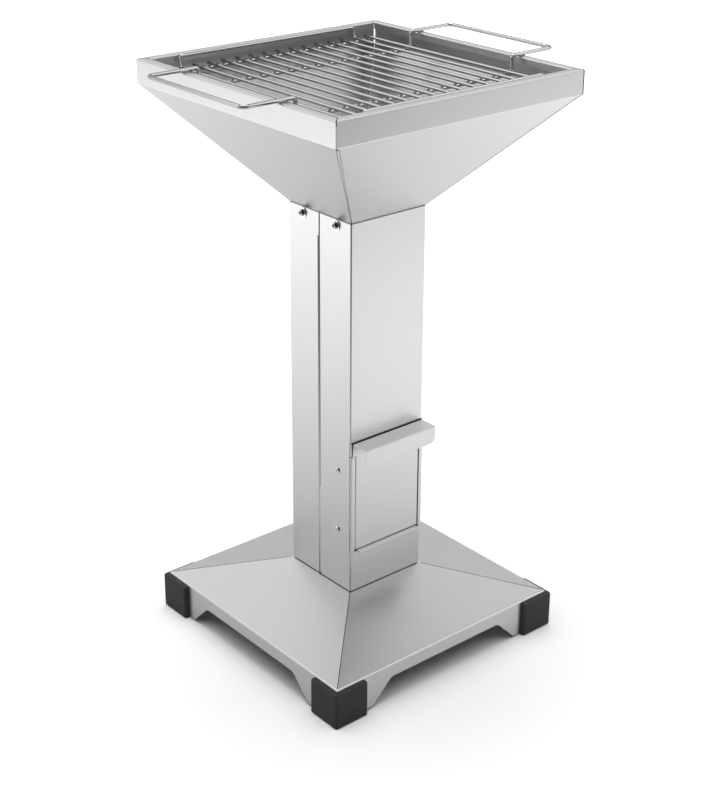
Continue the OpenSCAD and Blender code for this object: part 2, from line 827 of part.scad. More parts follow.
module grate_handle_right() {
    y = inner_rod_gap / 2;
    corners = [[foot_x - wire_r, y, cross_z], [foot_x, y, cross_z], [foot_x, y, handle_z],
        [handle_out, y, handle_z], [handle_out, -y, handle_z], [foot_x, -y, handle_z],
        [foot_x, -y, cross_z], [foot_x - wire_r, -y, cross_z]];
    color(chrome) wire(corners, [0, wire_r, wire_r, handle_r, handle_r, wire_r, wire_r, 0], rod_d);
}

module grate_handle_left() {
    mirror([1, 0, 0]) grate_handle_right();
}

base_shell();
foot_front_left();
foot_front_right();
foot_rear_left();
foot_rear_right();
column_front_shell();
column_rear_shell();
drawer_housing();
housing_rivets();
base_bolts();
base_nuts();
bowl_front_panel();
bowl_rear_panel();
bowl_left_panel();
bowl_right_panel();
bowl_corner_straps();
bowl_bolts();
bowl_washers();
bowl_nuts();
ash_box();
ash_drawer_front();
charcoal_bars();
charcoal_rods();
grate_bars();
grate_cross_rods();
grate_guard_wire();
grate_handle_left();
grate_handle_right();
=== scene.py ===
import math

import bpy
import numpy as np
from mathutils import Matrix, Vector


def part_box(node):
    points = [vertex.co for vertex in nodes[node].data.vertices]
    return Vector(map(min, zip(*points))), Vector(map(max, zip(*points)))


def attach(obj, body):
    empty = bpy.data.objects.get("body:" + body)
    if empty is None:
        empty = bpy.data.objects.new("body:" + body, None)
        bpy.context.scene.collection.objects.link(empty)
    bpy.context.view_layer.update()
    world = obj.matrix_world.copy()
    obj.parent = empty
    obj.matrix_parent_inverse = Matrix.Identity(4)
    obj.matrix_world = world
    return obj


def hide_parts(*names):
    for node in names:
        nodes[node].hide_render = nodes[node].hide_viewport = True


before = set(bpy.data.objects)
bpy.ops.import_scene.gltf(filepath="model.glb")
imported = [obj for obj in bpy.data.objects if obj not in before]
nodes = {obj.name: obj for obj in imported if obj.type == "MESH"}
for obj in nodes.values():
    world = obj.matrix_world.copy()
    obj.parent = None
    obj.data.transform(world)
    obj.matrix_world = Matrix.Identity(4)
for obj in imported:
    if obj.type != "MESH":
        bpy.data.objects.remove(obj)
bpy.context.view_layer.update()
print("frame loaded:", len(nodes), "nodes")

mm = 0.001


# Camera. Its place is a distance and a height from the grill, its aim is worked out from the angles
view = {
    "azimuth": -40.106,  # degrees, seen from above
    "pitch": 22.073,  # degrees below the horizon
    "roll": 0.315,
    "aside": 0.126,  # degrees that the aim passes beside the column
    "distance": 1.8567,  # metres
    "height": 1.1751,
    "lens": 71.42,
    "sensor": 36,
    "shiftY": -0.0953,
    "far": 60,
}


def makeCamera(v):
    # Right, up and backward axes from three turns: about Z, down by the pitch, and about the view axis
    azimuth, pitch, roll, aside = [math.radians(v[k]) for k in ("azimuth", "pitch", "roll", "aside")]
    flat = np.array([-math.sin(azimuth), math.cos(azimuth), 0])
    across = np.array([math.cos(azimuth), math.sin(azimuth), 0])
    ahead = math.cos(aside) * flat + math.sin(aside) * across
    right = math.cos(aside) * across - math.sin(aside) * flat
    look = math.cos(pitch) * ahead - math.sin(pitch) * np.array([0, 0, 1])
    up = np.cross(right, look)
    axes = np.stack([math.cos(roll) * right + math.sin(roll) * up, math.cos(roll) * up - math.sin(roll) * right, -look])
    place = Matrix(axes.T.tolist()).to_4x4()
    place.translation = (math.sin(azimuth) * v["distance"], -math.cos(azimuth) * v["distance"], v["height"])
    camera = bpy.data.objects.new("camera", bpy.data.cameras.new("camera"))
    camera.data.lens = v["lens"]
    camera.data.sensor_width = v["sensor"]
    camera.data.shift_y = v["shiftY"]
    camera.data.clip_end = v["far"]
    camera.matrix_world = place
    bpy.context.scene.collection.objects.link(camera)
    bpy.context.scene.camera = camera


makeCamera(view)
bpy.context.scene.view_settings.view_transform = "Standard"


# Node helpers
def addNode(tree, kind, settings=None, **inputs):
    # Inputs are given by name with _ for a space: a socket is linked, anything else is set
    node = tree.nodes.new(kind)
    for name, value in (settings or {}).items():
        setattr(node, name, value)
    for name, value in inputs.items():
        setInput(tree, node, name.replace("_", " "), value)
    return node


def setInput(tree, node, name, value):
    # A name of digits picks the input by its place, for nodes that have several of one name
    socket = node.inputs[int(name)] if name.strip().isdigit() else node.inputs[name]
    if isinstance(value, bpy.types.NodeSocket):
        tree.links.new(value, socket)
    else:
        socket.default_value = value


def mathNode(tree, operation, a, b=0.0, c=None):
    node = tree.nodes.new("ShaderNodeMath")
    node.operation = operation
    setInput(tree, node, "0", a)
    setInput(tree, node, "1", b)
    if c is not None:
        setInput(tree, node, "2", c)
    return node.outputs[0]


def ramp(tree, value, start, end, low, high, kind="SMOOTHSTEP"):
    # A value that goes from low to high while another goes from start to end
    return addNode(tree, "ShaderNodeMapRange", {"interpolation_type": kind}, Value=value, From_Min=start, From_Max=end,
                   To_Min=low, To_Max=high).outputs[0]


def along(tree, vector, way):
    # How far a vector goes along a fixed way
    node = addNode(tree, "ShaderNodeVectorMath", {"operation": "DOT_PRODUCT"})
    setInput(tree, node, "0", vector)
    setInput(tree, node, "1", way)
    return node.outputs["Value"]


def scaled(tree, colour, level):
    # A colour or vector times a level
    node = addNode(tree, "ShaderNodeVectorMath", {"operation": "SCALE"}, Scale=level)
    setInput(tree, node, "0", colour)
    return node.outputs[0]


def mixedColour(tree, share, colourA, colourB):
    node = addNode(tree, "ShaderNodeMix", {"data_type": "RGBA"}, Factor=share)
    setInput(tree, node, "6", colourA)
    setInput(tree, node, "7", colourB)
    return node.outputs[2]


def noise(tree, place, scale, detail, rough=0.5):
    return addNode(tree, "ShaderNodeTexNoise", Vector=place, Scale=scale, Detail=detail, Roughness=rough).outputs[0]


def newMaterial(name):
    material = bpy.data.materials.new(name)
    material.use_nodes = True
    material.node_tree.nodes.clear()
    return material


# Room. Matt things are lit from overhead, so that the floor goes dark under the base. Metal mirrors bright walls on the
# left behind and on the right in front, and a dim side towards the camera
room = {
    "floorSize": 40.0,
    "floorColour": (0.6, 0.6, 0.6, 1),
    "seenNear": 1.35,  # floor tone for the camera beside the grill
    "seenFar": 2.4,  # and far off, where less light falls
    "seenSpan": (0.8, 5.0),  # metres from the middle
    "right": (0.765, -0.644, 0),  # the camera's right, along the floor
    "towards": (-0.644, -0.765, 0),  # from the grill towards the camera
    # Painted light and shade on the floor, as metal mirrors it: painted tones from left to right, and painted shade
    # from some metres towards the camera on
    "paintedToneSpan": 2.5,  # metres to the left and right that the tones span
    "paintedFloorTones": ((0.07, 1.6), (0.13, 3.1), (0.19, 1.4), (0.3, 1.3), (0.44, 0.78), (0.56, 1.0), (0.7, 1.5),
                      (0.9, 1.5)),
    "paintedShadeSpan": (0.45, 0.95),  # metres
    "paintedShadeShare": 0.15,
    # Light from above for matt things, by the sine of its height
    "overhead": 1.2,
    "overheadSpan": (0.5, 0.9),
    # Sky as metal mirrors it, by the sine of its height, dimmed towards the camera
    "skyTones": ((0.0, 0.55), (0.36, 0.7), (0.62, 1.15), (0.74, 0.95), (0.88, 0.1)),
    "skyDimSpan": (0.2, 0.7),  # how far a direction goes towards the camera
    "skyDim": 0.3,  # share that is left there
    # Bright walls at both sides
    "wallSpan": (0.74, 0.86),  # how far a direction goes to the side
    "wallHeights": (0.2, 0.48),  # sines of the heights where a wall starts and has its full tone
    "wallTone": 1.9,
    "keyPlace": (0.2, 0.6, 5.0),
    "keyAim": (0, 0, 0.35),
    "keySize": 3.4,
    "keyPower": 90,
}


def toneStops(tree, value, tones):
    # Greys by place along a value from 0 to 1
    node = addNode(tree, "ShaderNodeValToRGB", Fac=value)
    stops = node.color_ramp.elements
    for stop, (where, tone) in enumerate(tones):
        mark = stops[stop] if stop < 2 else stops.new(where)
        mark.position = where
        mark.color = (tone, tone, tone, 1)
    return node.outputs["Color"]


def mirroredRays(tree, rays):
    # One for what is seen in metal, and zero once the light has met a matt surface
    clear = mathNode(tree, "MAXIMUM", rays["Is Glossy Ray"], rays["Is Transmission Ray"])
    return mathNode(tree, "MULTIPLY", clear, mathNode(tree, "LESS_THAN", rays["Diffuse Depth"], 0.5))


def makeWorld(r):
    world = bpy.data.worlds.new("studio")
    bpy.context.scene.world = world
    world.use_nodes = True
    tree = world.node_tree
    tree.nodes.clear()
    direction = addNode(tree, "ShaderNodeTexCoord").outputs["Generated"]
    height = addNode(tree, "ShaderNodeSeparateXYZ", Vector=direction).outputs["Z"]
    overhead = ramp(tree, height, *r["overheadSpan"], 0.0, r["overhead"])
    sky = toneStops(tree, height, r["skyTones"])
    dim = ramp(tree, along(tree, direction, r["towards"]), *r["skyDimSpan"], 1.0, r["skyDim"])
    aside = mathNode(tree, "ABSOLUTE", along(tree, direction, r["right"]))
    wall = mathNode(tree, "MULTIPLY", ramp(tree, aside, *r["wallSpan"], 0.0, r["wallTone"]),
                    ramp(tree, height, *r["wallHeights"], 0.0, 1.0))
    inMirror = mathNode(tree, "MAXIMUM", mathNode(tree, "MULTIPLY", sky, dim), wall)
    rays = addNode(tree, "ShaderNodeLightPath").outputs
    strength = addNode(tree, "ShaderNodeMix", Factor=mirroredRays(tree, rays), A=overhead, B=inMirror).outputs[0]
    seen = addNode(tree, "ShaderNodeMix", Factor=rays["Is Camera Ray"], A=strength, B=1.0).outputs[0]
    background = addNode(tree, "ShaderNodeBackground", Color=(1, 1, 1, 1), Strength=seen)
    addNode(tree, "ShaderNodeOutputWorld", Surface=background.outputs[0])


def makeFloor(r):
    material = newMaterial("floorPaint")
    tree = material.node_tree
    rays = addNode(tree, "ShaderNodeLightPath").outputs
    place = addNode(tree, "ShaderNodeTexCoord").outputs["Object"]
    # Painted light and shade that only metal sees: tones painted from left to right, darkened towards the camera
    share = ramp(tree, along(tree, place, r["right"]), -r["paintedToneSpan"], r["paintedToneSpan"], 0.0, 1.0, "LINEAR")
    dim = ramp(tree, along(tree, place, r["towards"]), *r["paintedShadeSpan"], 1.0, r["paintedShadeShare"])
    inMirror = scaled(tree, toneStops(tree, share, r["paintedFloorTones"]), dim)
    lit = mixedColour(tree, mirroredRays(tree, rays), r["floorColour"], inMirror)
    distance = addNode(tree, "ShaderNodeVectorMath", {"operation": "LENGTH"})
    setInput(tree, distance, "0", place)
    seen = ramp(tree, distance.outputs["Value"], *r["seenSpan"], r["seenNear"], r["seenFar"])
    colour = mixedColour(tree, rays["Is Camera Ray"], lit, seen)
    paint = addNode(tree, "ShaderNodeBsdfDiffuse", Color=colour)
    addNode(tree, "ShaderNodeOutputMaterial", Surface=paint.outputs[0])
    half = r["floorSize"] / 2
    mesh = bpy.data.meshes.new("floor")
    mesh.from_pydata([(-half, -half, 0), (half, -half, 0), (half, half, 0), (-half, half, 0)], [], [(0, 1, 2, 3)])
    mesh.materials.append(material)
    floor = bpy.data.objects.new("floor", mesh)
    bpy.context.scene.collection.objects.link(floor)


def makeLamp(name, place, aim, size, power):
    # A round lamp that is turned towards its aim
    lamp = bpy.data.lights.new(name, "AREA")
    lamp.shape = "DISK"
    lamp.size = size
    lamp.energy = power
    holder = bpy.data.objects.new(name, lamp)
    away = Vector(place) - Vector(aim)
    holder.matrix_world = Matrix.Translation(place) @ away.to_track_quat("Z", "Y").to_matrix().to_4x4()
    bpy.context.scene.collection.objects.link(holder)


makeWorld(room)
makeFloor(room)
makeLamp("keyLamp", room["keyPlace"], room["keyAim"], room["keySize"], room["keyPower"])
print("room made")


# Finishes. Metal has a fine grain, clouds of handling over it and slow waves in its surface
grain = {
    "share": 0.6,
    "detail": 2.0,
    "cloudShare": 0.4,
    "cloudScale": 9.0,
    "cloudDetail": 3.0,
    "cloudRough": 0.6,
    "waveScale": 3.5,
    "waveShare": 12.0,  # height of the waves against the grain
}


def makeMetalFinish(g):
    # Group: colour, roughness and height from the grain and the clouds
    group = bpy.data.node_groups.new("metalFinish", "ShaderNodeTree")
    for name, kind, side in (("Grain Scale", "Vector", "INPUT"), ("Roughness", "Float", "INPUT"),
                             ("Roughness Spread", "Float", "INPUT"), ("Tone", "Color", "INPUT"),
                             ("Tone Spread", "Float", "INPUT"), ("Colour", "Color", "OUTPUT"),
                             ("Roughness", "Float", "OUTPUT"), ("Height", "Float", "OUTPUT")):
        group.interface.new_socket(name, in_out=side, socket_type="NodeSocket" + kind)
    given = addNode(group, "NodeGroupInput").outputs
    place = addNode(group, "ShaderNodeTexCoord").outputs["Object"]
    stretched = addNode(group, "ShaderNodeVectorMath", {"operation": "MULTIPLY"})
    setInput(group, stretched, "0", place)
    setInput(group, stretched, "1", given["Grain Scale"])
    fine = noise(group, stretched.outputs[0], 1.0, g["detail"])
    cloud = noise(group, place, g["cloudScale"], g["cloudDetail"], g["cloudRough"])
    wave = noise(group, place, g["waveScale"], 0.0)
    mixed = mathNode(group, "ADD", mathNode(group, "MULTIPLY", fine, g["share"]),
                     mathNode(group, "MULTIPLY", cloud, g["cloudShare"]))
    centred = mathNode(group, "SUBTRACT", mixed, 0.5)
    rough = mathNode(group, "MULTIPLY_ADD", centred, given["Roughness Spread"], given["Roughness"])
    level = mathNode(group, "MULTIPLY_ADD", centred, given["Tone Spread"], 1.0)
    height = mathNode(group, "MULTIPLY_ADD", wave, g["waveShare"], fine)
    addNode(group, "NodeGroupOutput", Colour=scaled(group, given["Tone"], level), Roughness=rough, Height=height)
    return group


metalFinish = makeMetalFinish(grain)

# Spreads say how far the grain and clouds move the roughness and the tone, and bump is in metres. Turned is painted
# shade:
# two amounts by which a face is turned away from the viewer, and the share of the tone painted at each, which darkens
# the wires' sides and the fasteners' middles
finishes = {
    "stainlessSheet": {"tone": (0.66, 0.66, 0.66, 1), "toneSpread": 0.06, "rough": 0.32, "roughSpread": 0.06,
                       "grain": (30, 30, 2500), "bump": 0.00002},
    "chromeWire": {"tone": (0.62, 0.62, 0.625, 1), "toneSpread": 0.06, "rough": 0.1, "roughSpread": 0.05,
                   "grain": (400, 400, 400), "bump": 0.00001, "turned": (0.25, 0.85, 1.0, 0.22)},
    "brightFastener": {"tone": (0.85, 0.85, 0.85, 1), "toneSpread": 0.06, "rough": 0.12, "roughSpread": 0.08,
                       "grain": (900, 900, 900), "bump": 0.00001, "turned": (0.08, 0.34, 0.1, 1.0)},
}
rubber = {
    "poreScale": 900.0,
    "poreDetail": 3.0,
    "poreBump": 0.00008,
    "bumpStrength": 0.5,
    "rough": (0.5, 0.66),  # between the pores and in them
    "dustScale": 40.0,
    "dustDetail": 4.0,
    "tone": (0.02, 0.035),
    "noiseSpan": (0.3, 0.7),  # where most of a noise lies
}


def makeMetal(name, f):
    material = newMaterial(name)
    tree = material.node_tree
    group = addNode(tree, "ShaderNodeGroup", {"node_tree": metalFinish}, Grain_Scale=f["grain"], Roughness=f["rough"],
                    Roughness_Spread=f["roughSpread"], Tone=f["tone"], Tone_Spread=f["toneSpread"])
    bump = addNode(tree, "ShaderNodeBump", Strength=1.0, Distance=f["bump"], Height=group.outputs["Height"])
    colour = group.outputs["Colour"]
    # Painted shade: the tone is scaled by how far the face is turned from the viewer
    if "turned" in f:
        facing = addNode(tree, "ShaderNodeLayerWeight", Blend=0.5).outputs["Facing"]
        colour = scaled(tree, colour, ramp(tree, facing, *f["turned"]))
    metal = addNode(tree, "ShaderNodeBsdfPrincipled", Base_Color=colour, Roughness=group.outputs["Roughness"],
                    Normal=bump.outputs[0], Metallic=1.0)
    addNode(tree, "ShaderNodeOutputMaterial", Surface=metal.outputs[0])
    return material


def makeRubber(r):
    # Pores set the roughness and the bump, and dust sets the tone
    material = newMaterial("blackRubber")
    tree = material.node_tree
    place = addNode(tree, "ShaderNodeTexCoord").outputs["Object"]
    pores = noise(tree, place, r["poreScale"], r["poreDetail"])
    dust = noise(tree, place, r["dustScale"], r["dustDetail"])
    tone = ramp(tree, dust, *r["noiseSpan"], *r["tone"], "LINEAR")
    rough = ramp(tree, pores, *r["noiseSpan"], *r["rough"], "LINEAR")
    bump = addNode(tree, "ShaderNodeBump", Strength=r["bumpStrength"], Distance=r["poreBump"], Height=pores)
    matt = addNode(tree, "ShaderNodeBsdfPrincipled", Base_Color=tone, Roughness=rough, Normal=bump.outputs[0])
    addNode(tree, "ShaderNodeOutputMaterial", Surface=matt.outputs[0])
    return material


materials = {name: makeMetal(name, f) for name, f in finishes.items()}
materials["blackRubber"] = makeRubber(rubber)
print("finishes made")


def finishOf(name):
    if name.startswith("foot_"):
        return "blackRubber"
    if name.endswith(("bolts", "nuts", "washers", "rivets")):
        return "brightFastener"
    if name.startswith(("grate_", "charcoal_")):
        return "chromeWire"
    return "stainlessSheet"


for name, node in nodes.items():
    node.data.materials.clear()
    node.data.materials.append(materials[finishOf(name)])


# Shape helpers. All shapes are in millimetres until addPiece
def unit(v):
    return v / np.linalg.norm(v, axis=-1, keepdims=True)


def gridFaces(rows, columns, wrapRows=False, wrapColumns=False, keep=None):
    # Quads of a grid of points, each from a corner along its row and then up to the next row
    i, j = np.meshgrid(np.arange(rows if wrapRows else rows - 1), np.arange(columns if wrapColumns else columns - 1),
                       indexing="ij")
    below, above = i * columns, (i + 1) % rows * columns
    here, beside = j, (j + 1) % columns
    quads = np.stack([below + here, below + beside, above + beside, above + here], -1)
    return (quads.reshape(-1, 4) if keep is None else quads[keep]).tolist()


def endCaps(rows, columns):
    # One face over the first ring of a grid and one over the last
    end = (rows - 1) * columns
    return [list(range(columns))[::-1], list(range(end, end + columns))]


def roundedPath(corners, radii, steps=6, hold=0.2):
    # Each inner corner becomes an arc: its start, plus the way in times r sin(a), plus the way round times
    # r (1 - cos(a)). A point is kept close to both ends of the arc, so that flat faces shade flat
    p = np.asarray(corners, float)
    r = np.broadcast_to(np.asarray(radii, float), len(p) - 2)[:, None]
    came, goes = unit(p[1:-1] - p[:-2]), unit(p[2:] - p[1:-1])
    onward = (came * goes).sum(1, keepdims=True)
    turn = np.arccos(np.clip(onward, -1, 1))
    inward = unit(goes - came * onward)
    start = p[1:-1] - came * r * np.tan(turn / 2)
    a = (turn * np.linspace(0, 1, steps + 1))[..., None]
    way, side, r = came[:, None], inward[:, None], r[:, None]
    arcs = start[:, None] + way * r * np.sin(a) + side * r * (1 - np.cos(a))
    ways = way * np.cos(a) + side * np.sin(a)
    arcs = np.concatenate([arcs[:, :1] - ways[:, :1] * hold, arcs, arcs[:, -1:] + ways[:, -1:] * hold], 1)
    ways = np.concatenate([ways[:, :1], ways, ways[:, -1:]], 1)
    size = p.shape[1]
    return (np.concatenate([p[:1], arcs.reshape(-1, size), p[-1:]]),
            np.concatenate([came[:1], ways.reshape(-1, size), goes[-1:]]))


def foldedSheet(corners, inside, thick, steps=6):
    # Two lines, the thickness apart: the sheet lies on the left of its path, and a left turn has the larger radius
    p = np.asarray(corners, float)
    came, goes = p[1:-1] - p[:-2], p[2:] - p[1:-1]
    leftTurn = came[:, 0] * goes[:, 1] - came[:, 1] * goes[:, 0] > 0
    face, ways = roundedPath(p, np.where(leftTurn, inside + thick, inside), steps)
    return face, face + np.stack([-ways[:, 1], ways[:, 0]], 1) * thick


def carried(face, back, startAt, endAt):
    # Each profile point (d, z) runs from x = start(d, z) to x = end(d, z) at y = -d, and both ends are closed
    loop = np.concatenate([face, back[::-1]])
    d, z = loop.T
    x = np.stack([startAt(d, z), endAt(d, z)], 1)
    points = np.stack(np.broadcast_arrays(x, -d[:, None], z[:, None]), -1).reshape(-1, 3)
    i, last = np.arange(len(face) - 1), len(loop) - 1
    cap = np.stack([i, i + 1, last - 1 - i, last - i], 1) * 2
    return points, gridFaces(len(loop), 2, wrapRows=True) + cap.tolist() + (cap[:, ::-1] + 1).tolist()


def tube(points, ways, radius, sides=16, closed=False, ease=0.4):
    # Each ring is centre + r (cos(a) first + sin(a) second), both at right angles to the way. A fixed vector that is
    # never along the wire gives the first. Cut ends are eased
    points, ways = np.asarray(points, float), np.asarray(ways, float)
    radii = np.full(len(points), float(radius))
    if not closed and ease:
        points = np.concatenate([points[:1], points[:1] + ways[:1] * ease, points[1:-1], points[-1:] - ways[-1:] * ease,
                                 points[-1:]])
        ways = np.concatenate([ways[:1], ways, ways[-1:]])
        radii = np.concatenate([[radius - ease], radii, [radius - ease]])
    fixed = unit(np.array([1, 0.6, 0.37]))
    first = unit(fixed - ways * (ways @ fixed)[:, None])
    second = np.cross(ways, first)
    a = np.arange(sides)[:, None] * 2 * np.pi / sides
    rings = points[:, None] + radii[:, None, None] * (np.cos(a) * first[:, None] + np.sin(a) * second[:, None])
    faces = gridFaces(len(points), sides, wrapRows=closed, wrapColumns=True)
    if not closed:
        faces += endCaps(len(points), sides)
    return rings.reshape(-1, 3), faces


def wireAlong(way, half, x, y, z, radius, **how):
    # A straight wire of the same length on both sides of the point (x, y, z)
    way, middle = np.array(way, float), np.array([x, y, z])
    return tube([middle - way * half, middle + way * half], [way, way], radius, **how)


def revolved(profile, sides=32, hexRows=(), hexWidth=0.0, loop=False):
    # Each profile point (r, z) becomes the ring (r cos(a), r sin(a), z), and in the hexagon's rows r is half its width
    # over cos(a's distance from the middle of its flat). A loop joins the last ring to the first, else both are closed
    r, z = np.asarray(profile, float).T
    a = np.arange(sides) * 2 * np.pi / sides
    radii = np.repeat(r[:, None], sides, 1)
    flat = (a + np.pi / 6) % (np.pi / 3) - np.pi / 6
    for row in hexRows:
        radii[row] = hexWidth / 2 / np.cos(flat)
    points = np.stack(np.broadcast_arrays(radii * np.cos(a), radii * np.sin(a), z[:, None]), -1)
    faces = gridFaces(len(r), sides, wrapRows=loop, wrapColumns=True)
    return points.reshape(-1, 3), faces if loop else faces + endCaps(len(r), sides)


def beads(centres, size, rings=6, sides=10):
    # Flattened balls: centre + size * (cos(b) cos(a), cos(b) sin(a), sin(b)), closed by small flats near the poles
    reach = 1.35
    b = np.linspace(-reach, reach, rings)[:, None]
    a = np.arange(sides) * 2 * np.pi / sides
    ball = np.stack(np.broadcast_arrays(np.cos(b) * np.cos(a), np.cos(b) * np.sin(a), np.sin(b)), -1) * size
    faces = gridFaces(rings, sides, wrapColumns=True) + endCaps(rings, sides)
    return [(np.asarray(c, float) + ball.reshape(-1, 3), faces) for c in centres]


def turned(part, quarters):
    # A part turned about Z by quarter turns
    c, s = round(math.cos(quarters * math.pi / 2)), round(math.sin(quarters * math.pi / 2))
    return part[0] @ np.array([[c, s, 0], [-s, c, 0], [0, 0, 1]]), part[1]


def mirrored(part, x=1, y=1):
    # A part mirrored in X, in Y or in both. One mirror alone turns its faces round
    return part[0] * np.array([x, y, 1]), [f[::-1] for f in part[1]] if x * y < 0 else part[1]


def outAlongX(part, side, place):
    # A part drawn along +Z is laid along +X or -X by a turn about Y, and then moved
    x, y, z = part[0].T
    return np.stack([side * z, y, -side * x], 1) + place, part[1]


# Degrees that an edge turns by before it is bevelled, and before it is shaded as an edge
edgeTurns = {"bevelled": 50, "sharp": 28}


def addPiece(name, parts, finish, body, stands, thick=0.0, ease=0.0, sharp=edgeTurns["sharp"]):
    # One object from parts of points and faces. A thickness goes in from the faces, and an ease is a bevel's width
    starts = np.cumsum([0] + [len(p) for p, _ in parts])
    points = np.concatenate([p for p, _ in parts]) * mm
    faces = [np.array(f) + s for (_, some), s in zip(parts, starts) for f in some]
    # Points that no face uses are left out
    used, order = np.unique(np.concatenate(faces), return_inverse=True)
    faces = np.split(order, np.cumsum([len(f) for f in faces])[:-1])
    mesh = bpy.data.meshes.new(name)
    mesh.from_pydata(points[used].tolist(), [], [f.tolist() for f in faces])
    mesh.materials.append(materials[finish])
    piece = bpy.data.objects.new(name, mesh)
    bpy.context.scene.collection.objects.link(piece)
    if thick:
        solid = piece.modifiers.new("thickness", "SOLIDIFY")
        solid.thickness = thick * mm
        solid.offset = -1
        solid.use_even_offset = True
    if ease:
        bevel = piece.modifiers.new("ease", "BEVEL")
        bevel.width = ease * mm
        bevel.segments = 1
        bevel.limit_method = "ANGLE"
        bevel.angle_limit = math.radians(edgeTurns["bevelled"])
    bpy.context.view_layer.update()
    settled = bpy.data.meshes.new_from_object(piece.evaluated_get(bpy.context.evaluated_depsgraph_get()))
    piece.modifiers.clear()
    piece.data = settled
    settled.name = name
    settled.shade_smooth()
    settled.set_sharp_from_angle(angle=math.radians(sharp))
    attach(piece, body)
    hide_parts(*stands)
    # How far its box is from the one that it stands for
    corners = np.array([v.co for v in settled.vertices])
    cad = np.array([[list(c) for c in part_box(n)] for n in stands])
    off = max(np.abs(corners.min(0) - cad[:, 0].min(0)).max(), np.abs(corners.max(0) - cad[:, 1].max(0)).max()) / mm
    print(f"{name}: {len(settled.polygons)} faces, its box is off by {off:.2f} mm")


# Sheet, its bends and its cut edges, used by every folded piece
sheet = {
    "thick": 1.0,
    "inside": 0.8,  # radius on the inner side of a bend
    "ease": 0.15,
    "sharp": 20,  # degrees, less than a bevel's
}


def addSheet(name, parts, body, stands, thick=0.0, ease=0.0):
    addPiece(name, parts, "stainlessSheet", body, stands, thick, ease, sheet["sharp"])


# Base: the profile goes up the skirt, round the bend, up the slope and in under the column
base = {
    "half": 179.0,
    "skirtLow": 3.0,
    "edge": 51.0,
    "topHalf": 61.0,
    "top": 84.0,
    "holeHalf": 38.0,
    "bend": 2.0,
    "archTop": 33.0,
    "archHalf": 92.0,
    "archSoft": 5.0,  # rounding of the arch's upper corners
    "archColumns": (12, 20, 29, 31, 45),  # columns of points beside the arch, from its corner on
    "sideColumns": (160, 172),  # and beyond it, from the middle on
    "slit": 0.7,  # how far each side stays back from the open line along the corner
}


def makeBase(b):
    face, back = foldedSheet([[b["half"], b["skirtLow"]], [b["half"], b["edge"]], [b["topHalf"], b["top"]],
                              [b["holeHalf"], b["top"]]], b["bend"], sheet["thick"], 8)
    loop = np.concatenate([face, back[::-1]])
    # One side: x = s d between the corners, then a point on the diagonal
    arch, soft = b["archHalf"], b["archSoft"]
    right = np.concatenate([np.linspace(0, arch - soft, 5)[1:], np.linspace(arch - soft, arch + soft, 9)[1:],
                            arch + np.array(b["archColumns"]), b["sideColumns"]])
    s = np.concatenate([-right[::-1], [0], right]) / b["half"]
    d, z = loop.T
    edge = (d - b["slit"])[:, None]
    x = np.concatenate([-edge, s * d[:, None], edge], 1)
    y = np.repeat(-d[:, None], x.shape[1], 1)
    height = np.repeat(z[:, None], x.shape[1], 1)
    # The arch: the lower edge keeps to its top, then falls one to one, with a parabola between
    t = np.abs(x[[0, -1]]) - arch
    fall = np.where(t < -soft, 0, np.where(t > soft, t, (t + soft) ** 2 / (4 * soft)))
    height[[0, -1]] = np.maximum(b["archTop"] - fall, b["skirtLow"])
    side = np.stack([np.concatenate([a, c[:, None]], 1) for a, c in ((x, d), (y, -d), (height, z))], -1)
    points = np.concatenate([turned((side, None), k)[0] for k in range(4)], 1)
    # The open line runs along the slope, from one row to the next, on both faces of the sheet. Its walls and ends are
    # closed. Rows are named by the face, f for the outer and b for the inner one. The slope is the longest step inward
    columns, each, last = points.shape[1], side.shape[1], len(loop) - 1
    low = int(np.argmin(np.diff(face[:, 0])))
    keep = np.ones((len(loop), columns), bool)
    corner = np.arange(columns) % each >= each - 2
    keep[np.ix_([low, last - 1 - low], corner)] = False
    faces = gridFaces(len(loop), columns, wrapRows=True, wrapColumns=True, keep=keep)
    for e in range(each - 2, columns, each):
        ridge, n = e + 1, (e + 2) % columns
        f0, f1, b0, b1 = [row * columns for row in (low, low + 1, last - low, last - low - 1)]
        faces += [[f1 + e, f0 + e, b0 + e, b1 + e], [f0 + n, f1 + n, b1 + n, b0 + n],
                  [f0 + e, f0 + ridge, f0 + n, b0 + n, b0 + ridge, b0 + e],
                  [f1 + n, f1 + ridge, f1 + e, b1 + e, b1 + ridge, b1 + n]]
    return [(points.reshape(-1, 3), faces)]


addSheet("baseShell", makeBase(base), "stand", ["base_shell"], ease=sheet["ease"])


# Feet: an L seen from above, whose outline moves in at the lower and upper edges
foot = {
    "out": 185.5,
    "leg": 51.0,
    "width": 11.5,
    "height": 48.0,
    "corner": 4.0,
    "innerCorner": 2.5,
    "ease": 2.5,
    "hold": 0.3,  # flat part kept beside each rounding
}


def makeFoot(f):
    leg, width = f["leg"], f["width"]
    corners = [[leg / 2, 0], [leg, 0], [leg, width], [width, width], [width, leg], [0, leg], [0, 0], [leg / 2, 0]]
    c = f["corner"]
    line, ways = roundedPath(corners, [c, c, f["innerCorner"], c, c, c], 6, f["hold"])
    line, ways = line[:-1], ways[:-1]
    out = np.stack([ways[:, 1], -ways[:, 0]], 1)
    # Ring at height z: the outline moved in by ease (1 - cos(a)) where the edge's quarter round has turned by a
    a = np.linspace(np.pi / 2, 0, 6)
    inset = f["ease"] * (1 - np.cos(a))
    rise = f["ease"] * (1 - np.sin(a))
    inset = np.concatenate([inset, [0, 0], inset[::-1]])
    flat = f["ease"] + f["hold"]
    z = np.concatenate([rise, [flat, f["height"] - flat], f["height"] - rise[::-1]])
    rings = line[None] - out[None] * inset[:, None, None] - f["out"]
    points = np.concatenate([rings, np.broadcast_to(z[:, None, None], rings.shape[:2] + (1,))], -1)
    rows, columns = rings.shape[:2]
    return points.reshape(-1, 3), gridFaces(rows, columns, wrapColumns=True) + endCaps(rows, columns)


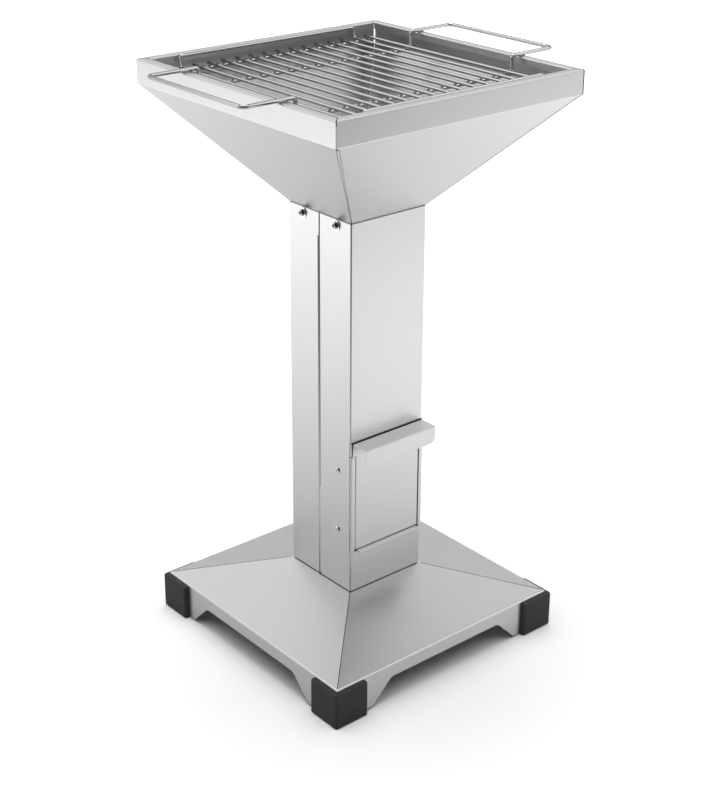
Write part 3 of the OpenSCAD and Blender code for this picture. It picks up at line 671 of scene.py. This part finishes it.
footPart = makeFoot(foot)
for place, x, y in (("FrontLeft", 1, 1), ("FrontRight", -1, 1), ("RearLeft", 1, -1), ("RearRight", -1, -1)):
    node = "foot_" + place.replace("Left", "_left").replace("Right", "_right").lower()
    addPiece("foot" + place, [mirrored(footPart, x, y)], "blackRubber", "stand", [node])
print("base done")


# Column: both shells are a plan carried up, with cells left out where the sheet is cut
column = {
    "half": 59.5,
    "low": 84.0,
    "high": 582.4,
    "seamFront": 0.8,  # edge of the front shell, in front of the middle
    "seamStep": 1.9,  # how much further back it lies below the step
    "stepHeight": 214.0,
    "stepRows": 0.4,  # rows of points this far above and below the step
    "edgeColumns": (4, 8),  # columns of points beside that edge
    "notch": 3.5,  # radius of the notch at its foot
    "notchClear": 12.0,  # the next row of points above it
    "seamRear": 3.9,  # where the rear shell's fold starts
    "seamDepth": 2.6,
    "lap": 10.0,
    "lapLow": 4.0,  # the lap starts this far above the foot
    "openingLow": 141.5,
    "openingHigh": 296.95,
    "collarNotch": 28.8,  # length of the bowl's collar in the column, with some room
    "flatEdge": 1.5,  # edge of the rear shell over the collar
    "flatRise": 0.1,  # height in which it gets there
    "flatFrom": 1.2,  # the wall is laid flat there up to this far behind the fold
    "flange": 18.0,
    "flangeClear": 6.0,
    "footBend": 1.5,
    "footGap": 0.7,  # shadow line over the base, the flange behind it rests on the base
    "footRows": (0, 0.12, 0.35, 0.8, 1.5, 3),  # rows of points in its bend
}


def upright(plan, heights):
    # The points of a plan at each height
    return np.stack(np.broadcast_arrays(plan[None, :, 0], plan[None, :, 1], heights[:, None]), -1).copy()


def tuckedIn(points, plan, c):
    # Below the foot's bend the plan moves in by r - sqrt(r^2 - (depth in the bend)^2)
    ways = np.gradient(plan, axis=0)
    out = unit(np.stack([ways[:, 1], -ways[:, 0]], 1))
    r = c["footBend"]
    depth = np.maximum(c["low"] + c["footGap"] + r - points[:, :1, 2], 0)
    points[..., :2] -= out * (r - np.sqrt(r ** 2 - np.minimum(depth, r) ** 2))[..., None]
    return points


def makeFrontShell(c):
    h, edge = c["half"], -c["seamFront"]
    corners = [[-h, edge], [-h, -h], [h, -h], [h, edge]]
    plan = foldedSheet(corners, sheet["inside"], sheet["thick"])[0]
    # Columns beside the edges keep the notch in small faces
    near, far = c["edgeColumns"]
    plan = np.concatenate([plan[:1], [[-h, edge - near], [-h, edge - far]], plan[1:-1],
                           [[h, edge - far], [h, edge - near]], plan[-1:]])
    turn = np.linspace(0, np.pi / 2, 8)[2:]
    foot = c["low"] + c["footGap"] + np.array(c["footRows"][:3])
    heights = np.concatenate([foot, c["low"] + c["notch"] * np.sin(turn),
                              [c["low"] + c["notchClear"], c["openingLow"], c["stepHeight"] - c["stepRows"],
                               c["stepHeight"] + c["stepRows"], c["openingHigh"], c["high"]]])
    points = tuckedIn(upright(plan, heights), plan, c)
    # The edge: one step further back below, and cut by a quarter round at the foot
    lower = heights < c["stepHeight"]
    cut = np.sqrt(np.maximum(c["notch"] ** 2 - (heights - c["low"]) ** 2, 0))
    shift = lower * c["seamStep"] - cut
    points[:, 0, 1] += shift
    points[:, -1, 1] += shift
    middle = (heights[:-1] + heights[1:]) / 2
    inOpening = (middle > c["openingLow"]) & (middle < c["openingHigh"])
    front = (plan[:-1, 1] + plan[1:, 1]) / 2 < -h + sheet["thick"] + sheet["inside"]
    keep = ~(inOpening[:, None] & front[None])
    return points.reshape(-1, 3), gridFaces(len(heights), len(plan), keep=keep)


def makeRearShell(c):
    # From the lap behind the front shell's edge through the slanted fold and round the rear to the other lap
    h, lapX = c["half"], c["half"] - c["seamDepth"]
    foldY, rear = c["seamRear"] - c["seamDepth"], c["seamRear"]
    corners = [[lapX, -c["lap"]], [lapX, foldY], [h, rear], [h, h],
               [-h, h], [-h, rear], [-lapX, foldY], [-lapX, -c["lap"]]]
    plan = foldedSheet(corners, sheet["inside"], sheet["thick"])[0]
    foot, collar = c["low"] + c["footGap"] + np.array(c["footRows"]), c["high"] - c["collarNotch"]
    heights = np.concatenate([foot, [collar, collar + c["flatRise"], c["high"]]])
    points = tuckedIn(upright(plan, heights), plan, c)
    # Over the bowl's collar the fold lies flat in the wall: its y runs evenly from the flat edge to the fold's start
    foldStart, foldEnd = rear + c["flatFrom"], plan[1, 1]
    zone = plan[:, 1] < foldStart
    share = np.maximum(plan[zone, 1] - foldEnd, 0) / (foldStart - foldEnd)
    points[-2:, zone, 0] = np.sign(plan[zone, 0]) * h
    points[-2:, zone, 1] = c["flatEdge"] + share * (foldStart - c["flatEdge"])
    # The lap is left out there and at the foot
    keep = np.ones((len(heights) - 1, len(plan) - 1), bool)
    keep[heights[1:] <= c["low"] + c["lapLow"]] = ~((plan[:-1, 1] + plan[1:, 1]) / 2 < 0)
    keep[-2:, [0, -1]] = False
    return points.reshape(-1, 3), gridFaces(len(heights), len(plan), keep=keep)


def makeFlange(c, quarters):
    # Flat strip at the column's foot, on three sides: its outer line, and the same line moved in
    clear, z = c["flangeClear"], c["low"] + sheet["thick"]
    lines = [[[-h, -clear, z], [-h, -h, z], [h, -h, z], [h, -clear, z]]
             for h in (c["half"] - sheet["thick"] - c["footBend"], c["half"] - c["flange"])]
    return turned((np.array(lines).reshape(-1, 3), gridFaces(2, 4)), quarters)


for place, shell, quarters in (("Front", makeFrontShell(column), 0), ("Rear", makeRearShell(column), 2)):
    addSheet("column" + place, [shell, makeFlange(column, quarters)], "stand", [f"column_{place.lower()}_shell"],
             sheet["thick"], sheet["ease"])
print("column done")


# Bowl: four panels whose ends follow the diagonals, and a strap at each corner of the funnel
bowl = {
    "half": 187.95,
    "collarHalf": 58.35,
    "collarLow": 556.5,
    "funnelHalf": 59.5,
    "funnelLow": 583.8,
    "rimLow": 724.8,
    "rimTop": 754.8,
    "fold": 12.0,
    "hem": 9.0,
    "joint": 2.0,  # open joint in the rim's corners
    "strapTop": 3.5,  # width of the strap at its upper end
    "strapLow": 0.8,
    "strapGap": 2.1,  # open line beside it, at its upper end
    "gapLow": 0.35,  # share of that line at the lower end
    "cornerLine": 0.8,  # open line between the strap and the side panel
    "belowBend": 2.0,  # a height between the rim's bend and the step in the panel's end
    "stepAt": 2.4,  # that step, below the bend along the slope
    "stepRun": 0.1,  # length of slope in which it steps back
    # Layers of the strap: its outer and inner depth in the sheet, and how much shorter it is at both ends
    "strip": (0, 1.0, 4.0),
    "web": (0.5, 2.3, 9.0),
    "lap": (2.2, 3.0, 8.0),
    "lapWidth": 15.0,
    "lapLow": 0.8,  # share of that width at the lower end
    "clear": 0.05,
}


def upSlope(b, d):
    # 0 at the funnel's lower end and 1 at the rim
    return (d - b["funnelHalf"]) / (b["half"] - b["funnelHalf"])


def strapAt(b, d):
    return b["strapLow"] + (b["strapTop"] - b["strapLow"]) * upSlope(b, d)


def makeBowl(b):
    half, rim = b["half"], b["half"] - b["fold"]
    across, rise = half - b["funnelHalf"], b["rimLow"] - b["funnelLow"]
    collarTop = b["funnelLow"] - (b["funnelHalf"] - b["collarHalf"]) * rise / across
    profile = [[b["collarHalf"], b["collarLow"]], [b["collarHalf"], collarTop], [half, b["rimLow"]],
               [half, b["rimTop"]], [rim, b["rimTop"]], [rim, b["rimTop"] - b["hem"]]]
    lines = foldedSheet(profile, sheet["inside"], sheet["thick"], 8)
    # Two more rows on the slope below the rim's bend, where the panel's end steps back for the strap
    stepZ = b["rimLow"] - b["belowBend"]
    rimBend = int(np.argmax(lines[0][:, 1] > stepZ))
    back = unit(np.array([across, rise])) * np.array([[b["stepAt"] + b["stepRun"]], [b["stepAt"]]])
    face, inner = [np.insert(line, rimBend, line[rimBend] - back, axis=0) for line in lines]

    def frontEnd(d, z):
        # Below the rim the panel stops short of the strap, in the rim it leaves an open joint
        gap = b["strapGap"] * (b["gapLow"] + (1 - b["gapLow"]) * upSlope(b, d))
        return np.where(z < stepZ, d - strapAt(b, d) - gap, d - b["joint"])

    side = carried(face, inner, lambda d, z: -d, lambda d, z: d)
    front = carried(face, inner, lambda d, z: -frontEnd(d, z), frontEnd)
    return front, side


def makeStrap(b):
    # Along the funnel's slope: the strip outside, the lap inside it and the web that joins them
    start = np.array([b["funnelHalf"], b["funnelLow"]])
    run = np.array([b["half"], b["rimLow"]]) - start
    slope, length = unit(run), np.linalg.norm(run)
    inward = np.array([-slope[1], slope[0]])

    def layer(sizes, startAt, endAt):
        outer, inner, trim = sizes
        t = np.linspace(trim, length - trim, 3)[:, None]
        return carried(start + slope * t + inward * outer, start + slope * t + inward * inner, startAt, endAt)

    strip = layer(b["strip"], lambda d, z: d - strapAt(b, d), lambda d, z: d - b["cornerLine"])
    web = layer(b["web"], lambda d, z: d - strapAt(b, d) + b["clear"],
                lambda d, z: d - b["cornerLine"] * upSlope(b, d) - b["clear"])
    lap = layer(b["lap"], lambda d, z: d - b["lapWidth"] * (b["lapLow"] + (1 - b["lapLow"]) * upSlope(b, d)),
                lambda d, z: d - b["clear"])
    return [mirrored(part, x, y) for part in (strip, web, lap) for x in (1, -1) for y in (1, -1)]


frontPanel, sidePanel = makeBowl(bowl)
for quarters, (place, part) in enumerate((("Front", frontPanel), ("Right", sidePanel), ("Rear", frontPanel),
                                          ("Left", sidePanel))):
    addSheet("bowl" + place, [turned(part, quarters)], "stand", [f"bowl_{place.lower()}_panel"])
addSheet("bowlStraps", makeStrap(bowl), "stand", ["bowl_corner_straps"])
print("bowl done")


# Ash drawer: one sheet for front, flanges, shelf and lip
drawer = {
    "frontY": -62.0,
    "plateLow": 146.3,
    "plateHalf": 52.8,
    "webHalf": 49.8,  # flat part of the plate, less than wideHalf - lipCorner
    "bend": 1.8,  # radius of the plate's sides
    "flange": 9.0,
    "wideLow": 278.9,  # above it the plate is as wide as the shelf
    "slit": 0.4,  # between the two widths
    "wideHalf": 57.5,
    "shelf": 296.4,
    "shelfOut": 25.5,
    "lipLow": 273.4,
    "lipCorner": 7.5,
    "beyondWeb": (0.09, 0.36, 0.42, 1),  # shares of what lies beyond the web: nine columns between the first two
    "boxHalf": 51.65,
    "boxFront": -60.85,
    "boxBack": 44.0,
    "boxLow": 145.7,
    "boxHigh": 245.7,
    "boxCorner": 1.85,
    "boxFold": 0.3,  # radius of its rear corners
}


def makeDrawerFront(w):
    # Side view, from the lip's lower edge over the shelf and down the plate: distance in front of the axis, and height
    front, t = -w["frontY"], sheet["thick"]
    lip = front + w["shelfOut"] - t
    side = [[lip, w["lipLow"]], [lip, w["shelf"] - t], [front, w["shelf"] - t], [front, w["plateLow"]]]
    line = foldedSheet(side[::-1], sheet["inside"], t)[0][::-1]
    # The lip's lower corners need rows of their own, and so does the slit beside the plate's web
    corner = w["lipCorner"]
    fall = corner * (1 - np.sin(np.linspace(0, np.pi / 2, 9)))[::-1]
    lipRows = np.stack([np.full(len(fall), lip), w["lipLow"] + fall], 1)
    plateRows = np.array([[front, w["wideLow"]], [front, w["wideLow"] - w["slit"]]])
    line = np.concatenate([lipRows, line[1:-1], plateRows, line[-1:]])
    # Across: flat over the web, and beyond it a share of the edge's length
    web, wide = w["webHalf"], w["wideHalf"]
    share = np.concatenate([np.linspace(*w["beyondWeb"][:2], 9), w["beyondWeb"][2:]])
    beyond = np.concatenate([share[::-1], [0, 0], share])
    sign = np.repeat([-1.0, 1.0], len(share) + 1)
    d, z = line.T
    below = np.maximum(w["lipLow"] + corner - z, 0)
    lipHalf = wide - corner + np.sqrt(np.maximum(corner ** 2 - below ** 2, 0))
    half = np.where(d > front + t, lipHalf, wide)
    x = sign * (web + beyond * (half - web)[:, None])
    y = np.repeat(-d[:, None], len(beyond), 1)
    # The plate's sides: straight on, then back along an arc of the bend's radius, then straight
    flat, arc = w["plateHalf"] - w["bend"] - web, w["bend"] * np.pi / 2
    length = beyond * (flat + arc + w["flange"] - w["bend"])
    a = np.clip(length - flat, 0, arc) / w["bend"]
    low = (d < front + t) & (z < w["wideLow"] - w["slit"] / 2)
    x[low] = sign * (web + np.minimum(length, flat) + w["bend"] * np.sin(a))
    y[low] = w["frontY"] + w["bend"] * (1 - np.cos(a)) + np.maximum(length - flat - arc, 0)
    points = np.stack(np.broadcast_arrays(x, y, z[:, None]), -1)
    # The slit is open on both sides of the web
    slitRow = int(np.argmax(low)) - 1
    keep = np.ones((len(line) - 1, len(beyond) - 1), bool)
    keep[slitRow] = False
    keep[slitRow, len(share)] = True
    faces = gridFaces(len(line), len(beyond), keep=keep)
    return points.reshape(-1, 3), [f[::-1] for f in faces]


def makeAshBox(w):
    # Walls: a rounded plan carried up. Floor: the same plan as one face
    half, front, back, r, fold = [w["box" + k] for k in ("Half", "Front", "Back", "Corner", "Fold")]
    corners = [[0, front], [half, front], [half, back], [-half, back], [-half, front], [0, front]]
    plan = roundedPath(corners, [r, fold, fold, r], 5)[0][:-1]
    points = upright(plan, np.array([w["boxLow"], w["boxHigh"]]))
    return points.reshape(-1, 3), gridFaces(2, len(plan), wrapColumns=True) + [list(range(len(plan)))[::-1]]


addSheet("drawerFront", [makeDrawerFront(drawer)], "ash_drawer", ["ash_drawer_front"], sheet["thick"], sheet["ease"])
addSheet("ashBox", [makeAshBox(drawer)], "ash_drawer", ["ash_box"], sheet["thick"], sheet["ease"])
print("drawer done")


# Fasteners, drawn along +Z from the face that the head bears on
bolt = {
    "across": 32.0,
    "height": 575.2,
    "head": 5.25,
    "headEdge": 0.15,
    "rise": 3.3,
    "domeTurn": 60,  # degrees that the dome goes round
    "shank": 3.0,
    "tip": 0.4,
    "length": 12.55,
    "socketRim": 2.62,
    "socket": 4.0,  # across its flats
    "socketDepth": 2.145,
    "socketSlopes": (0.25, 0.1),  # heights of the slopes to its walls and to its floor
    "floor": 0.3,
    "washer": 7.0,
    "washerHole": 3.2,
    "washerRise": 1.4,
    "washerEdge": 0.2,
}
rivet = {
    "y": -35.3,
    "heights": (166.8, 251.4),
    "head": 4.0,
    "rise": 1.92,
    "domeTurn": 70,
    "shank": 2.4,
    "grip": 2.15,
    "tail": 3.0,
    "tailRadius": 3.36,
    "tailEdge": 0.6,
    "pin": 1.25,
    "pinFloor": 1.125,
    "pinDepth": 0.9,
    "pinEdge": 0.1,
}


def dome(radius, low, rise, turn, steps):
    # Rows (r cos(a), low + what is left of the rise times sin(a) / sin(turn))
    a = np.linspace(0, math.radians(turn), steps)
    return np.stack([radius * np.cos(a), low + (rise - low) * np.sin(a) / math.sin(math.radians(turn))], 1).tolist()


def makeBolt(b):
    # Tip, shank, flat underside, a dome from the head's edge to the socket, the socket's walls (the hexagon's rows)
    # and floor
    low = b["rise"] - b["socketDepth"]
    head = [[b["shank"] - b["tip"], -b["length"]], [b["shank"], -b["length"] + b["tip"]], [b["shank"], 0],
            [b["head"] - b["headEdge"], 0], *dome(b["head"], b["headEdge"], b["rise"], b["domeTurn"], 9),
            [b["socketRim"], b["rise"]], [0, b["rise"] - b["socketSlopes"][0]], [0, low + b["socketSlopes"][1]],
            [b["floor"], low]]
    rows = len(head)
    return revolved(head, 48, (rows - 3, rows - 2), b["socket"])


def makeRivet(r):
    # Tail behind the sheets, shank, dome and the hollow over the pin
    end, edge, tail = -r["grip"] - r["tail"], r["tailEdge"], r["tailRadius"]
    line = [[tail - edge, end], [tail, end + edge], [tail, -r["grip"]], [r["shank"], -r["grip"]], [r["shank"], 0],
            *dome(r["head"], 0, r["rise"], r["domeTurn"], 8), [r["pin"] + r["pinEdge"], r["rise"]],
            [r["pin"], r["rise"] - r["pinEdge"]], [r["pinFloor"], r["rise"] - r["pinDepth"]]]
    return revolved(line)


def makeWasher(b):
    # A ring with eased outer edges
    out, hole, rise, edge = b["washer"], b["washerHole"], b["washerRise"], b["washerEdge"]
    ring = [[hole, rise], [hole, 0], [out - edge, 0], [out, edge], [out, rise - edge], [out - edge, rise]]
    return revolved(ring, 48, loop=True)


def onColumn(part, rise, y, z):
    # Copies on both of the column's sides, at each y and z
    return [outAlongX(part, side, [side * (column["half"] + rise), a, b]) for side in (-1, 1) for a in y for b in z]


boltSpots = ((-bolt["across"], bolt["across"]), (bolt["height"],))
for name, parts, node in (("bowlBolts", onColumn(makeBolt(bolt), bolt["washerRise"], *boltSpots), "bowl_bolts"),
                          ("bowlWashers", onColumn(makeWasher(bolt), 0, *boltSpots), "bowl_washers"),
                          ("housingRivets", onColumn(makeRivet(rivet), 0, (rivet["y"],), rivet["heights"]),
                           "housing_rivets")):
    addPiece(name, parts, "brightFastener", "stand", [node])
print("fasteners done")


# Cooking grate
grate = {
    "barRadius": 2.0,
    "barHeight": 739.0,
    "barHalf": 173.0,
    "barPitch": 21.0,
    "bars": 16,
    "rodRadius": 2.5,
    "rodHeight": 734.5,
    "outerRods": (168.0, 161.0),  # distance from the middle, half length
    "innerRods": (91.0, 159.5),
    "guardX": 136.5,
    "guardY": 171.0,
    "guardTop": 753.3,
    "bend": 5.0,
    "riserX": 164.5,
    "handleTop": 757.5,
    "handleOut": 235.0,
    "handleCorner": 8.0,
    "bead": (1.7, 1.7, 1.1),  # half sizes of a bead of weld
    "rodEase": 0.5,
}


def spread(count, pitch):
    # Places at a pitch on both sides of the middle
    return (np.arange(count) - (count - 1) / 2) * pitch


def makeBars(g):
    # The guard wire takes the place of two bars
    x = spread(g["bars"], g["barPitch"])
    x = x[np.abs(np.abs(x) - g["guardX"]) > 0.01]
    return [wireAlong((0, 1, 0), g["barHalf"], v, 0, g["barHeight"], g["barRadius"]) for v in x]


def makeRods(g):
    # The inner rods go on into the handles, so only the outer ones have eased ends
    parts = [wireAlong((1, 0, 0), half, 0, side * y, g["rodHeight"], g["rodRadius"], sides=20, ease=ease)
             for (y, half), ease in ((g["outerRods"], g["rodEase"]), (g["innerRods"], 0)) for side in (-1, 1)]
    # A bead of weld where each bar lies on a rod
    contact = g["rodHeight"] + g["rodRadius"]
    spots = [(v, side * y, contact) for v in spread(g["bars"], g["barPitch"])
             for y in (g["outerRods"][0], g["innerRods"][0]) for side in (-1, 1)]
    return parts + beads(spots, np.array(g["bead"]))


def makeGuard(g):
    # One closed wire: up at the ends of two bars and across the front and the rear
    x, y, low, top = g["guardX"], g["guardY"], g["barHeight"], g["guardTop"]
    corners = [[0, y, top], [x, y, top], [x, y, low], [x, -y, low], [x, -y, top],
               [-x, -y, top], [-x, -y, low], [-x, y, low], [-x, y, top], [0, y, top]]
    points, ways = roundedPath(corners, g["bend"], 8)
    return [tube(points[:-1], ways[:-1], g["barRadius"], closed=True)]


def makeHandle(g):
    # From one inner rod up, out, across and back to the other
    x, (y, rodEnd), out = g["riserX"], g["innerRods"], g["handleOut"]
    low, top = g["rodHeight"], g["handleTop"]
    corners = [[rodEnd, y, low], [x, y, low], [x, y, top], [out, y, top],
               [out, -y, top], [x, -y, top], [x, -y, low], [rodEnd, -y, low]]
    # The first and last bend reach to the rods' ends, less a hair
    c, h, first = g["bend"], g["handleCorner"], g["bend"] - 0.001
    points, ways = roundedPath(corners, [first, c, h, h, c, first], 8, 0)
    points, ways = points[1:-1], ways[1:-1]
    # Two points in one place, where an arc follows another, become one
    fresh = np.append(True, np.linalg.norm(np.diff(points, axis=0), axis=1) > 0.01)
    return tube(points[fresh], ways[fresh], g["rodRadius"], sides=20, ease=0)


rightHandle = makeHandle(grate)
for name, parts, node in (("grateBars", makeBars(grate), "grate_bars"),
                          ("grateRods", makeRods(grate), "grate_cross_rods"),
                          ("grateGuard", makeGuard(grate), "grate_guard_wire"),
                          ("handleRight", [rightHandle], "grate_handle_right"),
                          ("handleLeft", [mirrored(rightHandle, x=-1)], "grate_handle_left")):
    addPiece(name, parts, "chromeWire", "cooking_grate", [node])


# Charcoal grate
charcoal = {
    "radius": 2.5,
    "barHeight": 622.8,
    "barHalf": 91.0,
    "bars": 9,
    "pitch": 19.0,
    "rodHeight": 617.8,
    "rodHalf": 86.5,
    "rodPlace": 60.0,
    "bead": (1.9, 1.9, 1.2),
}


def makeCharcoalGrate(c):
    x, rodY = spread(c["bars"], c["pitch"]), (-c["rodPlace"], c["rodPlace"])
    bars = [wireAlong((0, 1, 0), c["barHalf"], v, 0, c["barHeight"], c["radius"]) for v in x]
    rods = [wireAlong((1, 0, 0), c["rodHalf"], 0, y, c["rodHeight"], c["radius"]) for y in rodY]
    spots = [(v, y, c["rodHeight"] + c["radius"]) for v in x for y in rodY]
    return bars, rods + beads(spots, np.array(c["bead"]))


charcoalBars, charcoalRods = makeCharcoalGrate(charcoal)
addPiece("charcoalBars", charcoalBars, "chromeWire", "charcoal_grate", ["charcoal_bars"])
addPiece("charcoalRods", charcoalRods, "chromeWire", "charcoal_grate", ["charcoal_rods"])
print("grates done")

print("pieces done")
